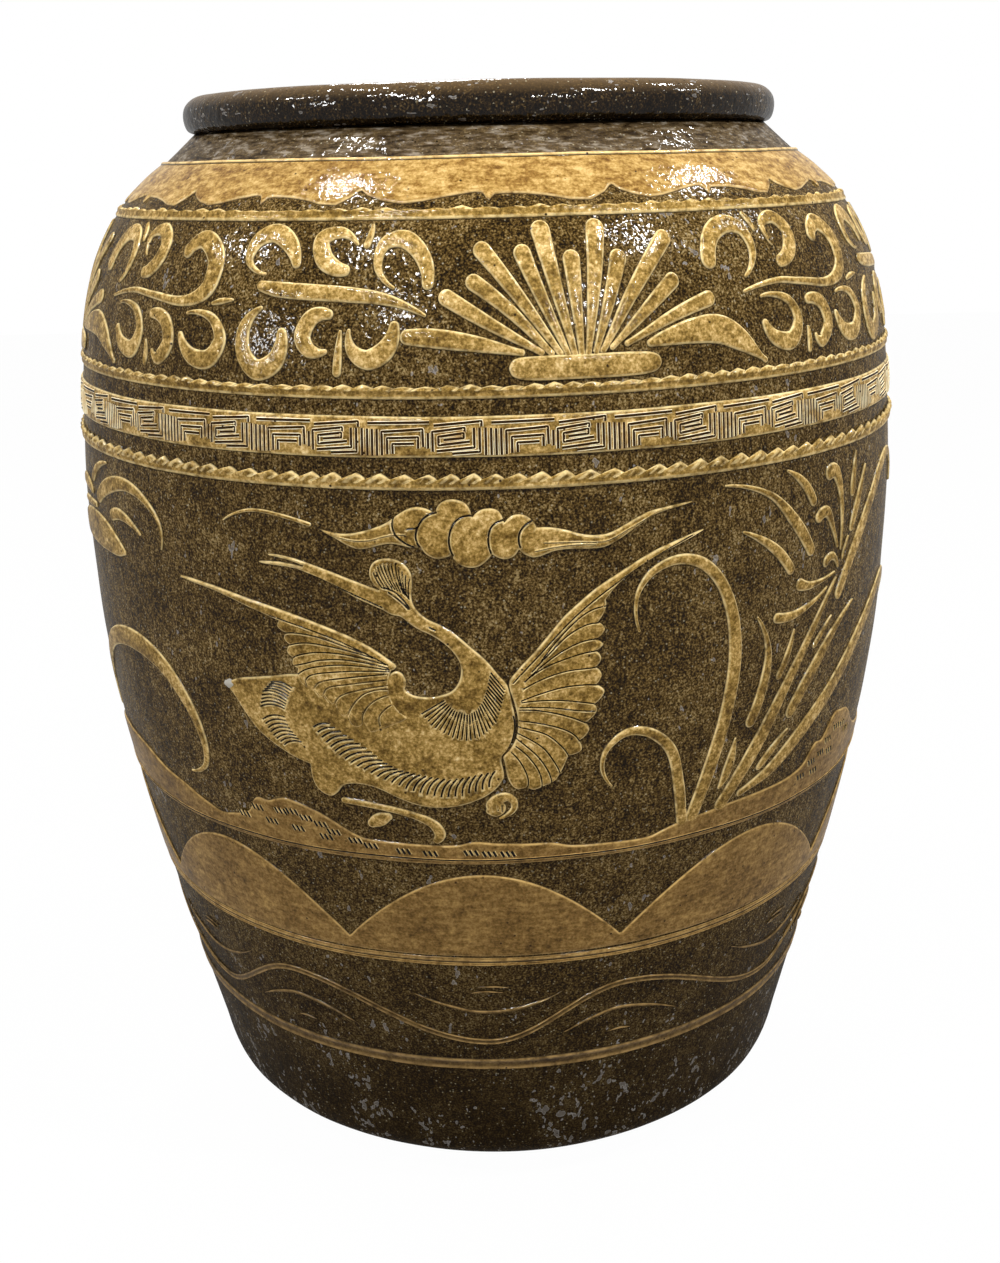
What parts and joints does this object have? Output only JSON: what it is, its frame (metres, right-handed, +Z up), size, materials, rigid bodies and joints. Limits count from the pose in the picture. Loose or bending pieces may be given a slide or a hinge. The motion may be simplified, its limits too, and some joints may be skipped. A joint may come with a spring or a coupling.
{
  "type": "glazed jar",
  "caption": "Large open glazed stoneware storage jar with a rolled lip, a swelling shoulder and applied relief bands, waves, hills, reeds and cranes.",
  "frame": {"origin": "middle of the foot, on the surface that the jar stands on", "axes": "+Z up along the jar's axis, -Y towards the pictured front, +X to the right seen from the front"},
  "size_m": [0.6396, 0.6408, 0.8],
  "materials": {
    "bare_clay": "unglazed stoneware",
    "brown_glaze": "mottled dark brown ash glaze, glossy",
    "ochre_glaze": "mottled ochre glaze, glossy",
    "amber_glaze": "orange amber glaze, glossy"
  },
  "bodies": {
    "root": {"base_slab": "bare_clay", "foot_wall": "brown_glaze", "lower_wall": "brown_glaze", "belly_wall": "brown_glaze", "shoulder_wall": "brown_glaze", "collar_wall": "brown_glaze", "neck_ring": "brown_glaze", "rolled_lip": "brown_glaze", "collar_band": "amber_glaze", "lower_cordon": "ochre_glaze", "meander_band": "ochre_glaze", "middle_cordon": "ochre_glaze", "upper_cordon": "ochre_glaze", "hill_border": "ochre_glaze", "hill_row": "ochre_glaze", "wave_border_lower": "ochre_glaze", "wave_border_upper": "ochre_glaze", "wave_line": "ochre_glaze", "crane_body_1": "ochre_glaze", "crane_left_wing_1": "ochre_glaze", "crane_right_wing_1": "ochre_glaze", "crane_leg_1": "ochre_glaze", "crane_foot_1": "ochre_glaze", "cloud_1": "ochre_glaze", "cloud_tail_1": "ochre_glaze", "small_reed_1": "ochre_glaze", "tall_reed_1": "ochre_glaze", "flower_stem_1": "ochre_glaze", "long_reed_1": "ochre_glaze", "upper_reed_1": "ochre_glaze", "arching_blade_1": "ochre_glaze", "broad_leaf_1": "ochre_glaze", "ground_1": "ochre_glaze", "crane_body_2": "ochre_glaze", "crane_left_wing_2": "ochre_glaze", "crane_right_wing_2": "ochre_glaze", "crane_leg_2": "ochre_glaze", "crane_foot_2": "ochre_glaze", "cloud_2": "ochre_glaze", "cloud_tail_2": "ochre_glaze", "small_reed_2": "ochre_glaze", "tall_reed_2": "ochre_glaze", "flower_stem_2": "ochre_glaze", "long_reed_2": "ochre_glaze", "upper_reed_2": "ochre_glaze", "arching_blade_2": "ochre_glaze", "broad_leaf_2": "ochre_glaze", "ground_2": "ochre_glaze", "tuft_boat_1": "ochre_glaze", "hook_scroll_1": "ochre_glaze", "tuft_boat_2": "ochre_glaze", "hook_scroll_2": "ochre_glaze", "tuft_boat_3": "ochre_glaze", "hook_scroll_3": "ochre_glaze", "tuft_boat_4": "ochre_glaze", "hook_scroll_4": "ochre_glaze"}
  },
  "joints": []
}
